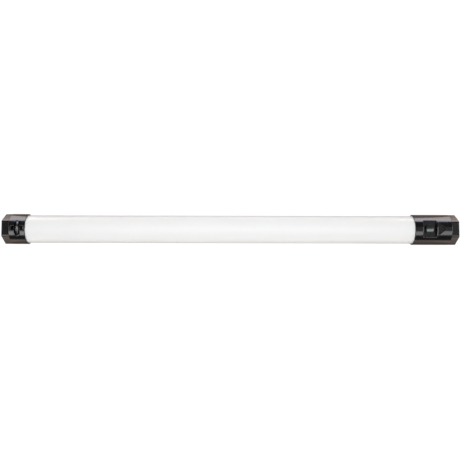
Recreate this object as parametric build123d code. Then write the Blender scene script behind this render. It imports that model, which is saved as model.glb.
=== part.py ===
from build123d import *
from math import asin, cos, degrees, radians, sin, tan
import os

# LED light tube: an opal tube between a short tail cap and a longer control cap.
#
# Everything is drawn around the tube's own axis, in millimetres, with +X from the tail cap to the
# control cap and +Z up through the power button. The export lifts it by AXIS_HEIGHT, so that the
# flats under the two caps lie on Z = 0 and the origin is under the middle of the lamp.

# ---- driving dimensions -------------------------------------------------------------------
OVERALL_LENGTH = 691.2      # from the tail's end face to the crown of the inlet cover
COVER_CROWN = 1.2           # how far the inlet cover stands out of the control end face
CAP_RADIUS = 23.0           # round body of both caps
AXIS_HEIGHT = 22.2          # axis above the surface: the flats under the caps
TAIL_BODY = 24.4            # length of the tail cap's round body
CONTROL_BODY = 55.5         # length of the control cap's round body
RING_WIDTH = 11.4           # hexagonal end covers
RING_RADIUS = 23.5          # centre to a sharp corner of the hexagon
RING_CORNER = 3.8           # rounding of its six corners
TUBE_RADIUS = 21.1          # opal tube, outside
TUBE_WALL = 2.0
TUBE_SEAT = 1.5             # how far the tube sits inside each cap's rim
GAP = 0.05                  # assembly gap between fixed pieces
BAR_BORE = 1.52             # hole that an M3 screw bites in
SCREW_CIRCLE = 16.2         # cover screws, from the axis
SCREW_ANGLES = (30.0, 150.0, 270.0)

# ---- stations along X ---------------------------------------------------------------------
TAIL_FACE = -OVERALL_LENGTH / 2
TAIL_RING = TAIL_FACE + RING_WIDTH
TAIL_RIM = TAIL_RING + TAIL_BODY
CONTROL_FACE = OVERALL_LENGTH / 2 - COVER_CROWN
CONTROL_RING = CONTROL_FACE - RING_WIDTH
CONTROL_RIM = CONTROL_RING - CONTROL_BODY

# ---- caps, shared -------------------------------------------------------------------------
CAVITY_RADIUS = 19.0
BULKHEAD = 5.0              # wall between a cap's cavity and its spigot
SPIGOT_RADIUS = TUBE_RADIUS - TUBE_WALL - 0.2
SPIGOT_BORE = 15.4
SPIGOT_LENGTH = 19.5        # past the rim, into the tube
O_RING_SECTION = 0.88       # radius of the ring's round section
O_RING_STATIONS = (8.0, 14.5)   # from the rim, into the tube
RIM_ROUND = 0.5
MOUTH_ROUND = 0.8           # edges where the pocket and the rope slot open
SCOOP_ROUND = 0.6
BOSS_RADIUS = 3.2
BOSS_LENGTH = 12.0
COVER_WALL = 3.0            # end wall of a hexagonal cover
COVER_SIDE = 2.0            # its side wall

# ---- spine and what it carries -------------------------------------------------------------
SPINE_START = TAIL_RIM + 0.2
SPINE_END = CONTROL_RIM - 0.2
SPINE_TOP = 8.0
SPINE_PLATE = 25.0
CHANNEL_Z = -3.5            # centre of the battery channel
CHANNEL_BORE = 9.4
CHANNEL_WALL = 1.5
SCREW_PORT_Y = 10.8         # the two screw ports beside the channel
SCREW_PORT_Z = 3.6
TAPE = 0.2
BOARD = 1.6                 # circuit board thickness
LED_COUNT = 45
LED_PITCH = 12.2
LED_SIDE = 5.0
LED_HEIGHT = 1.6
CELL_COUNT = 8
CELL_RADIUS = 9.2
CELL_LENGTH = 65.2
TAB = 0.6                   # welded strip between two cells

# ---- control cap ----------------------------------------------------------------------------
POCKET_X = CONTROL_RIM + 22.4   # centre of the button's pocket
POCKET_LENGTH = 20.1
POCKET_WIDTH = 24.0
POCKET_FLOOR = 17.5
FLOOR_THICKNESS = 2.0
BUTTON_LENGTH = 10.8
BUTTON_WIDTH = 12.6
BUTTON_GAP = 0.2
BUTTON_TOP = 21.6
BUTTON_CROWN = 9.5          # radius of its crowned top
FLANGE = 1.5                # how far its flange reaches under the floor
GASKET = 0.6
SCOOP_BASE = CONTROL_RIM + 34.5
SCOOP_LENGTH = 12.4
SCOOP_HALF = 9.3
SCOOP_FLOOR = 20.1
BOARD_TOP = 8.0             # control board, upper face
BOARD_START = CONTROL_RIM + 8.5
BOARD_END = CONTROL_RIM + 40.5
BOARD_HALF = 15.0
LEDGE_INNER = 12.6
LEDGE_HEIGHT = 3.0
SWITCH_SIDE = 6.2
SWITCH_HEIGHT = 3.5
PLUNGER_RADIUS = 1.75
PLUNGER_FOOT = 10.5

# ---- inlet in the control end face ----------------------------------------------------------
INLET_RADIUS = 6.5
INLET_BORE = 3.2
INLET_DEPTH = 10.0
INLET_LENGTH = 17.4
INLET_PIN = 1.05
PIN_SETBACK = 1.6           # pin tip, inside the mouth
COVER_RADIUS = 9.0
COVER_SEAT = 1.0            # depth of the cover's seat in the end face
COVER_CLEARANCE = 0.4       # around the cover, so that it swings clear of its seat
PLUG_RADIUS = 2.4           # stub behind the cover that stops the inlet
PLUG_LENGTH = 1.2
HINGE_Z = 10.5              # the cover's living hinge
TAB_WIDTH = 6.0

# ---- rope staple in the tail cap -------------------------------------------------------------
STAPLE_X = TAIL_RIM - 11.9
ROPE_HALF = 9.6             # half the rope channel's length, along X
ROPE_WIDTH = 6.4
ROPE_FLOOR = 12.4
STAPLE_SECTION = 2.3        # radius of the bar
STAPLE_CREST = 20.4         # centre of the bar at its highest
STAPLE_SHOULDER = 18.3      # centre of the bar over its legs
STAPLE_HALF = 8.1           # legs, from the lamp's middle plane
STAPLE_FOOT = 11.4
SLOT_FLOOR = 16.0
SLOT_LENGTH = 21.6          # capsule slot that the bar lies in
SLOT_WIDTH = 8.0
ROOF_UNDERSIDE = 9.0        # the tail cap is solid above this

# ---- insert in the tail end face -------------------------------------------------------------
INSERT_RADIUS = 6.0
INSERT_LENGTH = 13.6
THREAD_RADIUS = 2.56        # tapping size of a quarter-inch 20 thread
THREAD_DEPTH = 12.0
THREAD_CHAMFER = 0.6


# ---- plain shapes ----------------------------------------------------------------------------
def rod(x0, x1, radius, y=0.0, z=0.0):
    """Round bar along X."""
    return Pos((x0 + x1) / 2, y, z) * Rot(0, 90, 0) * Cylinder(radius, x1 - x0)


def post(x, y, z0, z1, radius):
    """Round bar along Z."""
    return Pos(x, y, (z0 + z1) / 2) * Cylinder(radius, z1 - z0)


def block(x0, x1, y0, y1, z0, z1):
    """Box between two corners."""
    return Pos((x0 + x1) / 2, (y0 + y1) / 2, (z0 + z1) / 2) * Box(x1 - x0, y1 - y0, z1 - z0)


def rounded_block(x, y, length, width, z0, z1, corner):
    """Upright block with rounded corners in plan."""
    outline = Pos(x, y, z0) * RectangleRounded(length, width, corner)
    return extrude(outline, z1 - z0)


def hexagon_bar(x0, x1, radius, corner):
    """Hexagonal bar along X, with flats above and below and rounded corners."""
    outline = RegularPolygon(radius, 6)
    outline = fillet(outline.vertices(), corner)
    return Pos(x0, 0, 0) * extrude(Plane.YZ * outline, x1 - x0)


def soften(shape, x, radius):
    """Rounds the outer edges of the face that closes a bar at x."""
    face = min(shape.faces().filter_by(Axis.X), key=lambda f: abs(f.center().X - x))
    return fillet(face.outer_wire().edges(), radius)


def round_mouth(body, x0, x1, radius):
    """Rounds the edges where a hollow between x0 and x1 opens through the cap's round top."""
    def on_surface(edge):
        box = edge.bounding_box()
        inside = x0 - 0.1 < box.min.X and box.max.X < x1 + 0.1 and box.min.Z > CAP_RADIUS / 2
        reach = [Vector(0, (edge @ t).Y, (edge @ t).Z).length for t in (0.0, 0.3, 0.5, 1.0)]
        return inside and min(reach) > CAP_RADIUS - 0.01 and max(reach) < CAP_RADIUS + 0.01
    return fillet([edge for edge in body.edges() if on_surface(edge)], radius)


def group(shapes):
    """Separate solids that are kept as one node."""
    return Compound(list(shapes))


def on_screw_circle(make):
    """Calls make(y, z) at each cover screw."""
    return [
        make(SCREW_CIRCLE * cos(radians(a)), SCREW_CIRCLE * sin(radians(a))) for a in SCREW_ANGLES
    ]


def screw(x_seat, direction, length, y, z):
    """M3 socket screw along X: its head stands on x_seat and its shank runs along direction."""
    head_height = 1.7
    head = rod(*sorted((x_seat, x_seat - direction * head_height)), 2.75, y, z)
    head = fillet(head.edges().filter_by(GeomType.CIRCLE), 0.25)
    shank = rod(*sorted((x_seat - direction * 0.5, x_seat + direction * length)), 1.5, y, z)
    crown = x_seat - direction * head_height
    key = RegularPolygon(1.45, 6)
    recess = extrude(Plane.YZ * key, direction * 1.1)
    return head + shank - Pos(crown, y, z) * recess


# ---- diffuser and spine ----------------------------------------------------------------------
def diffuser_tube():
    start, end = TAIL_RIM - TUBE_SEAT, CONTROL_RIM + TUBE_SEAT
    return rod(start, end, TUBE_RADIUS) - rod(start, end, TUBE_RADIUS - TUBE_WALL)


def spine_extrusion():
    """Aluminium section: a plate for the light board over a round channel for the cells."""
    plate = block(SPINE_START, SPINE_END, -SPINE_PLATE / 2, SPINE_PLATE / 2, SPINE_TOP - 2.0, SPINE_TOP)
    channel = rod(SPINE_START, SPINE_END, CHANNEL_BORE + CHANNEL_WALL, 0, CHANNEL_Z)
    body = plate + channel
    for side in (-1, 1):
        body += rod(SPINE_START, SPINE_END, 2.8, side * SCREW_PORT_Y, SCREW_PORT_Z)
    for side in (-1, 1):
        body -= rod(SPINE_START, SPINE_END, BAR_BORE, side * SCREW_PORT_Y, SCREW_PORT_Z)
    return body - rod(SPINE_START, SPINE_END, CHANNEL_BORE, 0, CHANNEL_Z)


def led_tape():
    return block(SPINE_START + 3.0, SPINE_END - 3.0, -10.0, 10.0, SPINE_TOP, SPINE_TOP + TAPE)


def led_board():
    base = SPINE_TOP + TAPE
    return block(SPINE_START + 3.0, SPINE_END - 3.0, -10.0, 10.0, base, base + BOARD)


def led_packages():
    """White packages in one row, each with a shallow dish."""
    base = SPINE_TOP + TAPE + BOARD
    middle = (SPINE_START + SPINE_END) / 2
    made = []
    for n in range(LED_COUNT):
        x = middle + (n - (LED_COUNT - 1) / 2) * LED_PITCH
        package = block(x - LED_SIDE / 2, x + LED_SIDE / 2, -LED_SIDE / 2, LED_SIDE / 2, base, base + LED_HEIGHT)
        made.append(package - post(x, 0, base + LED_HEIGHT - 0.5, base + LED_HEIGHT + 1.0, 2.0))
    return group(made)


def cell_start(n):
    """Where cell n begins, the row being centred in the spine."""
    middle = (SPINE_START + SPINE_END) / 2
    row = CELL_COUNT * CELL_LENGTH + (CELL_COUNT - 1) * TAB
    return middle - row / 2 + n * (CELL_LENGTH + TAB)


def battery_cells():
    made = []
    for n in range(CELL_COUNT):
        x = cell_start(n)
        can = rod(x, x + CELL_LENGTH - 1.5, CELL_RADIUS, 0, CHANNEL_Z)
        button = rod(x + CELL_LENGTH - 1.6, x + CELL_LENGTH, 3.0, 0, CHANNEL_Z)
        made.append(can + button)
    return group(made)


def battery_tabs():
    made = []
    for n in range(1, CELL_COUNT):
        x = cell_start(n)
        made.append(block(x - TAB, x, -3.5, 3.5, CHANNEL_Z - 6.0, CHANNEL_Z + 6.0))
    return group(made)


def battery_end_plugs():
    """Foam discs that hold the row of cells still at both ends."""
    first, last = cell_start(0), cell_start(CELL_COUNT) - TAB
    tail_plug = rod(first - 6.0, first, CHANNEL_BORE - GAP, 0, CHANNEL_Z)
    control_plug = rod(last, last + 6.0, CHANNEL_BORE - GAP, 0, CHANNEL_Z)
    for y in (-4.0, 4.0):
        control_plug -= rod(last, last + 6.0, 1.1, y, CHANNEL_Z)
    return group([tail_plug, control_plug])


# ---- what both caps share --------------------------------------------------------------------
def cap_shell(rim, ring, toward):
    """Round body, tube seat and spigot. toward is +1 where the cap lies on the +X side."""
    far = rim - toward * SPIGOT_LENGTH
    seat = rim + toward * TUBE_SEAT
    body = rod(*sorted((rim, ring)), CAP_RADIUS)
    body = fillet(body.edges().filter_by(GeomType.CIRCLE), RIM_ROUND)
    groove = rod(*sorted((rim - toward, seat)), TUBE_RADIUS + GAP)
    spigot = rod(*sorted((far, seat + toward)), SPIGOT_RADIUS)
    body = body - groove + spigot
    body -= rod(*sorted((far - toward, rim)), SPIGOT_BORE)
    for station in O_RING_STATIONS:
        x = rim - toward * station
        band = rod(x - 1.2, x + 1.2, SPIGOT_RADIUS + 1.0) - rod(x - 1.2, x + 1.2, SPIGOT_RADIUS - 1.6)
        body -= band
    return body - block(*sorted((rim, ring)), -CAP_RADIUS, CAP_RADIUS, -CAP_RADIUS - 1.0, -AXIS_HEIGHT)


def o_rings(rim, toward):
    centre = SPIGOT_RADIUS - 1.6 + O_RING_SECTION + 0.01
    return group(
        Pos(rim - toward * station, 0, 0) * Rot(0, 90, 0) * Torus(centre, O_RING_SECTION)
        for station in O_RING_STATIONS
    )


def cover_bosses(ring, toward):
    """Screw bosses that stand on the cavity wall just inside the ring."""
    ends = sorted((ring - toward * BOSS_LENGTH, ring))
    bosses = on_screw_circle(lambda y, z: rod(*ends, BOSS_RADIUS, y, z))
    return bosses[0] + bosses[1] + bosses[2]


def cover_boss_bores(ring, toward):
    ends = sorted((ring - toward * (BOSS_LENGTH - 1.0), ring))
    bores = on_screw_circle(lambda y, z: rod(*ends, BAR_BORE, y, z))
    return bores[0] + bores[1] + bores[2]


def hexagon_cover(face, ring, toward):
    """Hexagonal end cover: a cup whose end wall takes three sunk screws."""
    cup = hexagon_bar(*sorted((face, ring)), RING_RADIUS, RING_CORNER)
    cup = soften(cup, face, 0.8)
    inner_face = face - toward * COVER_WALL
    inner_radius = RING_RADIUS - COVER_SIDE / cos(radians(30))
    cup -= hexagon_bar(*sorted((inner_face, ring)), inner_radius, RING_CORNER - COVER_SIDE)
    for pillar in on_screw_circle(lambda y, z: rod(*sorted((inner_face, ring)), BOSS_RADIUS, y, z)):
        cup += pillar
    seat = face - toward * 1.9
    for hole in on_screw_circle(lambda y, z: rod(*sorted((face, ring)), 1.7, y, z)):
        cup -= hole
    for sink in on_screw_circle(lambda y, z: rod(*sorted((face, seat)), 2.95, y, z)):
        cup -= sink
    return cup


def cover_screws(face, toward):
    seat = face - toward * 1.9
    return group(on_screw_circle(lambda y, z: screw(seat, -toward, 18.0, y, z)))


def spine_screws(rim, toward):
    """Two screws through a cap's bulkhead into the spine's ports."""
    seat = rim + toward * BULKHEAD
    return group(screw(seat, -toward, 14.0, side * SCREW_PORT_Y, SCREW_PORT_Z) for side in (-1, 1))


def spine_screw_holes(rim, toward):
    ends = sorted((rim, rim + toward * BULKHEAD))
    return rod(*ends, 1.7, SCREW_PORT_Y, SCREW_PORT_Z) + rod(*ends, 1.7, -SCREW_PORT_Y, SCREW_PORT_Z)


# ---- tail end --------------------------------------------------------------------------------
def tail_cap():
    """Short cap, solid above the cavity, with a rope channel under a metal staple."""
    body = cap_shell(TAIL_RIM, TAIL_RING, -1)
    cavity = rod(TAIL_RING, TAIL_RIM - BULKHEAD, CAVITY_RADIUS)
    cavity &= block(TAIL_RING, TAIL_RIM, -CAP_RADIUS, CAP_RADIUS, -CAP_RADIUS, ROOF_UNDERSIDE)
    body = body - cavity + cover_bosses(TAIL_RING, -1)
    body = body - cover_boss_bores(TAIL_RING, -1) - spine_screw_holes(TAIL_RIM, -1)
    channel = block(
        STAPLE_X - ROPE_HALF, STAPLE_X + ROPE_HALF, -ROPE_WIDTH / 2, ROPE_WIDTH / 2, ROPE_FLOOR, CAP_RADIUS + 1.0
    )
    floor_edges = channel.edges().filter_by(Axis.Y).group_by(Axis.Z)[0]
    channel = fillet(floor_edges, 5.0)
    slot = Pos(STAPLE_X, 0, SLOT_FLOOR) * extrude(SlotOverall(SLOT_LENGTH, SLOT_WIDTH, 90), CAP_RADIUS - SLOT_FLOOR + 1.0)
    body = body - channel - slot
    body = round_mouth(body, STAPLE_X - ROPE_HALF, STAPLE_X + ROPE_HALF, MOUTH_ROUND)
    for side in (-1, 1):
        body -= post(STAPLE_X, side * STAPLE_HALF, STAPLE_FOOT, SLOT_FLOOR + 1.0, STAPLE_SECTION + 0.02)
    return body


def rope_staple():
    """Arched round bar with two legs pressed into the cap."""
    rise = STAPLE_CREST - STAPLE_SHOULDER
    arch_radius = (STAPLE_HALF**2 + rise**2) / (2 * rise)
    half_angle = degrees(asin(STAPLE_HALF / arch_radius))
    centre = STAPLE_CREST - arch_radius
    section = Plane.XZ * Pos(0, arch_radius) * Circle(STAPLE_SECTION)
    arch = revolve(Rot(-half_angle, 0, 0) * section, Axis.X, 2 * half_angle)
    bar = Pos(STAPLE_X, 0, centre) * arch
    for side in (-1, 1):
        bar += Pos(STAPLE_X, side * STAPLE_HALF, STAPLE_SHOULDER) * Sphere(STAPLE_SECTION)
        bar += post(STAPLE_X, side * STAPLE_HALF, STAPLE_FOOT, STAPLE_SHOULDER, STAPLE_SECTION)
    return bar


def tail_end_cover():
    cover = hexagon_cover(TAIL_FACE, TAIL_RING, -1)
    cover += rod(TAIL_FACE + 1.0, TAIL_FACE + INSERT_LENGTH + 0.8, INSERT_RADIUS + 2.4)
    return cover - rod(TAIL_FACE, TAIL_FACE + INSERT_LENGTH, INSERT_RADIUS)


def stand_insert():
    """Brass insert with a plain bore for the thread and two grip grooves."""
    body = rod(TAIL_FACE, TAIL_FACE + INSERT_LENGTH, INSERT_RADIUS)
    body -= rod(TAIL_FACE, TAIL_FACE + THREAD_DEPTH, THREAD_RADIUS)
    for start in (3.0, 8.0):
        x = TAIL_FACE + start
        body -= rod(x, x + 2.0, INSERT_RADIUS + 1.0) - rod(x, x + 2.0, INSERT_RADIUS - 0.6)
    mouth = min(body.edges().filter_by(GeomType.CIRCLE), key=lambda e: e.center().X + e.radius)
    return chamfer([mouth], THREAD_CHAMFER)


# ---- control end -----------------------------------------------------------------------------
def control_cap():
    """Long cap: a sunk pocket for the power button, a finger scoop and a board bay."""
    body = cap_shell(CONTROL_RIM, CONTROL_RING, 1)
    body -= rod(CONTROL_RIM + BULKHEAD, CONTROL_RING, CAVITY_RADIUS)
    half_x, half_y = POCKET_LENGTH / 2, POCKET_WIDTH / 2
    roof = block(
        POCKET_X - half_x - 2.0, POCKET_X + half_x + 2.0, -half_y - 2.0, half_y + 2.0,
        POCKET_FLOOR - FLOOR_THICKNESS, CAP_RADIUS,
    ) & rod(CONTROL_RIM, CONTROL_RING, CAVITY_RADIUS + 0.5)
    body = body + roof + cover_bosses(CONTROL_RING, 1)
    underside = BOARD_TOP - BOARD
    ledges = block(
        BOARD_START, BOARD_END, -CAVITY_RADIUS, CAVITY_RADIUS, underside - LEDGE_HEIGHT, underside
    ) - block(BOARD_START, BOARD_END, -LEDGE_INNER, LEDGE_INNER, underside - LEDGE_HEIGHT, underside)
    body += ledges & rod(BOARD_START, BOARD_END, CAVITY_RADIUS + 0.5)
    body = body - cover_boss_bores(CONTROL_RING, 1) - spine_screw_holes(CONTROL_RIM, 1)
    body -= block(CONTROL_RIM - 1.0, CONTROL_RIM + BULKHEAD, -5.6, 5.6, -7.0, 12.6)
    pocket = rounded_block(POCKET_X, 0, POCKET_LENGTH, POCKET_WIDTH, POCKET_FLOOR, CAP_RADIUS + 1.0, 1.4)
    window = rounded_block(
        POCKET_X, 0, BUTTON_LENGTH + 2 * BUTTON_GAP, BUTTON_WIDTH + 2 * BUTTON_GAP,
        POCKET_FLOOR - FLOOR_THICKNESS - 1.0, CAP_RADIUS, 2.2,
    )
    body = body - pocket - window - finger_scoop()
    body = round_mouth(body, POCKET_X - half_x, POCKET_X + half_x, MOUTH_ROUND)
    body = round_mouth(body, SCOOP_BASE, SCOOP_BASE + SCOOP_LENGTH, SCOOP_ROUND)
    for x, y in board_screw_places():
        body -= post(x, y, underside - LEDGE_HEIGHT, underside, 0.98)
    return body


def finger_scoop():
    """Flat-floored triangular scoop that narrows from the pocket towards the end."""
    outline = make_face(
        Polyline(
            (SCOOP_BASE, -SCOOP_HALF), (SCOOP_BASE + SCOOP_LENGTH, 0), (SCOOP_BASE, SCOOP_HALF), close=True
        )
    )
    outline = fillet(outline.vertices(), 0.7)
    return Pos(0, 0, SCOOP_FLOOR) * extrude(outline, CAP_RADIUS - SCOOP_FLOOR + 1.0)


def power_button():
    """Crowned square button with a flange that stays under the pocket's floor."""
    flange_top = POCKET_FLOOR - FLOOR_THICKNESS - GASKET - GAP
    stem = rounded_block(POCKET_X, 0, BUTTON_LENGTH, BUTTON_WIDTH, flange_top - 0.5, CAP_RADIUS, 2.0)
    reach = BUTTON_LENGTH / 2 + 1.0
    stem &= rod(POCKET_X - reach, POCKET_X + reach, BUTTON_CROWN, z=BUTTON_TOP - BUTTON_CROWN)
    flange = rounded_block(
        POCKET_X, 0, BUTTON_LENGTH + 2 * FLANGE, BUTTON_WIDTH + 2 * FLANGE, flange_top - 1.0, flange_top, 2.6
    )
    top = max(stem.faces(), key=lambda f: f.center().Z)
    stem = fillet(top.outer_wire().edges(), 0.6)
    return stem + flange


def button_gasket():
    top = POCKET_FLOOR - FLOOR_THICKNESS
    outer = rounded_block(POCKET_X, 0, BUTTON_LENGTH + 5.0, BUTTON_WIDTH + 5.0, top - GASKET, top, 3.6)
    return outer - rounded_block(
        POCKET_X, 0, BUTTON_LENGTH + 2 * BUTTON_GAP, BUTTON_WIDTH + 2 * BUTTON_GAP, top - GASKET, top, 2.2
    )


def switch_plunger():
    flange_foot = POCKET_FLOOR - FLOOR_THICKNESS - GASKET - GAP - 1.0
    return post(POCKET_X, 0, PLUNGER_FOOT, flange_foot, PLUNGER_RADIUS)


def tact_switch():
    half = SWITCH_SIDE / 2
    case = block(POCKET_X - half, POCKET_X + half, -half, half, BOARD_TOP, BOARD_TOP + SWITCH_HEIGHT)
    return case - post(POCKET_X, 0, BOARD_TOP + 1.4, BOARD_TOP + SWITCH_HEIGHT, PLUNGER_RADIUS + 0.1)


def board_screw_places():
    return [(x, side * 13.6) for x in (BOARD_START + 3.4, BOARD_END - 3.4) for side in (-1, 1)]


def control_board():
    board = block(BOARD_START, BOARD_END, -BOARD_HALF, BOARD_HALF, BOARD_TOP - BOARD, BOARD_TOP)
    for x, y in board_screw_places():
        board -= post(x, y, BOARD_TOP - BOARD, BOARD_TOP, 1.1)
    return board


def board_screws():
    made = []
    for x, y in board_screw_places():
        head = post(x, y, BOARD_TOP, BOARD_TOP + 1.2, 1.9)
        head -= block(x - 1.3, x + 1.3, y - 0.25, y + 0.25, BOARD_TOP + 0.7, BOARD_TOP + 1.3)
        head -= block(x - 0.25, x + 0.25, y - 1.3, y + 1.3, BOARD_TOP + 0.7, BOARD_TOP + 1.3)
        made.append(head + post(x, y, BOARD_TOP - BOARD - LEDGE_HEIGHT + 0.4, BOARD_TOP + 0.1, 0.96))
    return group(made)


def processor_chip():
    x = BOARD_END - 8.0
    return block(x - 3.5, x + 3.5, -3.5, 3.5, BOARD_TOP, BOARD_TOP + 1.0)


def radio_module():
    """Shield can over the radio, beside the switch."""
    x = BOARD_START + 6.4
    return rounded_block(x, 8.2, 9.0, 5.4, BOARD_TOP, BOARD_TOP + 2.2, 0.8)


def power_inductors():
    return group(
        rounded_block(POCKET_X + 1.0, side * 8.6, 6.0, 6.0, BOARD_TOP, BOARD_TOP + 3.0, 1.0) for side in (-1, 1)
    )


# ---- inlet -----------------------------------------------------------------------------------
def control_end_cover():
    cover = hexagon_cover(CONTROL_FACE, CONTROL_RING, 1)
    cover -= rod(CONTROL_FACE - COVER_WALL, CONTROL_FACE, INLET_RADIUS + GAP)
    cover -= rod(CONTROL_FACE - COVER_SEAT, CONTROL_FACE, COVER_RADIUS + COVER_CLEARANCE)
    return cover - rod(CONTROL_FACE - COVER_WALL, CONTROL_FACE, 1.2, 0, HINGE_Z + 2.6)


def inlet_socket():
    """Round power inlet with a shoulder behind the end wall."""
    mouth = CONTROL_FACE - COVER_SEAT
    body = rod(mouth - INLET_LENGTH, mouth, INLET_RADIUS)
    body += rod(CONTROL_FACE - COVER_WALL - 1.5, CONTROL_FACE - COVER_WALL, INLET_RADIUS + 1.7)
    body -= rod(mouth - INLET_DEPTH, mouth, INLET_BORE)
    return body - rod(mouth - INLET_DEPTH - 2.0, mouth - INLET_DEPTH, INLET_PIN)


def inlet_contact():
    mouth = CONTROL_FACE - COVER_SEAT
    pin = rod(mouth - INLET_DEPTH - 2.0, mouth - PIN_SETBACK, INLET_PIN)
    tip = pin.edges().filter_by(GeomType.CIRCLE).sort_by(Axis.X)[-1]
    return fillet([tip], 0.5)


def inlet_cover():
    """Rubber disc with a rounded rim, a stub that stops the inlet and a tab up to its hinge line."""
    seat = CONTROL_FACE - COVER_SEAT + GAP
    crown = CONTROL_FACE + COVER_CROWN
    disc = rod(seat, crown, COVER_RADIUS)
    disc = fillet(disc.edges().filter_by(GeomType.CIRCLE).sort_by(Axis.X)[-1:], COVER_CROWN - 0.1)
    tab = block(CONTROL_FACE + 0.1, crown, -TAB_WIDTH / 2, TAB_WIDTH / 2, COVER_RADIUS - 2.4, HINGE_Z - 0.15)
    pull = block(CONTROL_FACE + 0.1, crown - 0.2, -2.5, 2.5, -COVER_RADIUS - 2.0, -COVER_RADIUS + 2.4)
    plug = rod(seat - PLUG_LENGTH, seat, PLUG_RADIUS)
    return disc + tab + pull + plug


def inlet_cover_anchor():
    """Fixed half of the hinge strap, with a peg through the end wall and its barb behind."""
    crown = CONTROL_FACE + COVER_CROWN
    plate = block(CONTROL_FACE, crown, -TAB_WIDTH / 2, TAB_WIDTH / 2, HINGE_Z + 0.15, HINGE_Z + 5.0)
    peg = rod(CONTROL_FACE - COVER_WALL, CONTROL_FACE + 0.1, 1.2 - 0.02, 0, HINGE_Z + 2.6)
    barb = rod(CONTROL_FACE - COVER_WALL - 1.2, CONTROL_FACE - COVER_WALL, 1.9, 0, HINGE_Z + 2.6)
    return plate + peg + barb


# ---- wiring ----------------------------------------------------------------------------------
WIRE_RADIUS = 0.8
WIRE_REST = 0.02            # air between a wire and the board it lies on


def wire(points):
    """Insulated wire along straight runs, with bends as large as the runs allow."""
    corners = [Vector(*p) for p in points]
    radii = []
    for before, at, after in zip(corners, corners[1:], corners[2:]):
        turn = radians((at - before).get_angle(after - at))
        shorter = min((at - before).length, (after - at).length)
        radii.append(0.45 * shorter / tan(turn / 2))
    path = FilletPolyline(*points, radius=radii)
    section = Plane(origin=path @ 0, z_dir=path % 0) * Circle(WIRE_RADIUS)
    return sweep(section, path)


def battery_lead(side):
    """From the last cell through its foam disc and the bulkhead, up to the board's underside."""
    y = side * 4.0
    start = cell_start(CELL_COUNT) - TAB
    foot = BOARD_TOP - BOARD - WIRE_RADIUS - WIRE_REST
    return wire([
        (start, y, CHANNEL_Z), (CONTROL_RIM + 5.0, y, CHANNEL_Z), (CONTROL_RIM + 11.5, y, 0.6),
        (CONTROL_RIM + 18.0, y, foot), (CONTROL_RIM + 24.0, y, foot),
    ])


def led_leads():
    """Two wires across the bulkhead, from the light board down to the control board."""
    high = SPINE_TOP + TAPE + BOARD + WIRE_RADIUS + WIRE_REST
    low = BOARD_TOP + WIRE_RADIUS + WIRE_REST
    return group(
        wire([
            (SPINE_END - 9.0, side * 4.2, high), (CONTROL_RIM + 2.0, side * 4.2, high),
            (BOARD_START + 1.0, side * 4.2, low), (BOARD_START + 7.0, side * 4.2, low),
        ])
        for side in (-1, 1)
    )


def inlet_leads():
    """From the inlet's back to the board's underside."""
    back = CONTROL_FACE - COVER_SEAT - INLET_LENGTH
    foot = BOARD_TOP - BOARD - WIRE_RADIUS - WIRE_REST
    return group(
        wire([
            (back, side * 3.0, 1.0), (back - 5.0, side * 3.0, 1.0),
            (back - 10.0, side * 3.0, foot), (back - 15.0, side * 3.0, foot),
        ])
        for side in (-1, 1)
    )


# ---- assembly --------------------------------------------------------------------------------
NODES = {
    "diffuser_tube": diffuser_tube,
    "spine_extrusion": spine_extrusion,
    "led_tape": led_tape,
    "led_board": led_board,
    "led_packages": led_packages,
    "battery_cells": battery_cells,
    "battery_tabs": battery_tabs,
    "battery_end_plugs": battery_end_plugs,
    "tail_cap": tail_cap,
    "tail_end_cover": tail_end_cover,
    "tail_o_rings": lambda: o_rings(TAIL_RIM, -1),
    "tail_cover_screws": lambda: cover_screws(TAIL_FACE, -1),
    "tail_spine_screws": lambda: spine_screws(TAIL_RIM, -1),
    "stand_insert": stand_insert,
    "rope_staple": rope_staple,
    "control_cap": control_cap,
    "control_end_cover": control_end_cover,
    "control_o_rings": lambda: o_rings(CONTROL_RIM, 1),
    "control_cover_screws": lambda: cover_screws(CONTROL_FACE, 1),
    "control_spine_screws": lambda: spine_screws(CONTROL_RIM, 1),
    "power_button": power_button,
    "button_gasket": button_gasket,
    "switch_plunger": switch_plunger,
    "tact_switch": tact_switch,
    "control_board": control_board,
    "board_screws": board_screws,
    "processor_chip": processor_chip,
    "radio_module": radio_module,
    "power_inductors": power_inductors,
    "inlet_socket": inlet_socket,
    "inlet_contact": inlet_contact,
    "inlet_cover": inlet_cover,
    "inlet_cover_anchor": inlet_cover_anchor,
    "battery_lead_positive": lambda: battery_lead(1),
    "battery_lead_negative": lambda: battery_lead(-1),
    "led_leads": led_leads,
    "inlet_leads": inlet_leads,
}

os.makedirs("parts", exist_ok=True)
for name, make in NODES.items():
    export_step(Pos(0, 0, AXIS_HEIGHT) * make(), f"parts/{name}.step")
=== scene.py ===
import math

import bmesh
import bpy
from bpy.props import FloatProperty, FloatVectorProperty, IntProperty, PointerProperty
from mathutils import Matrix, Quaternion, Vector


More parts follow.
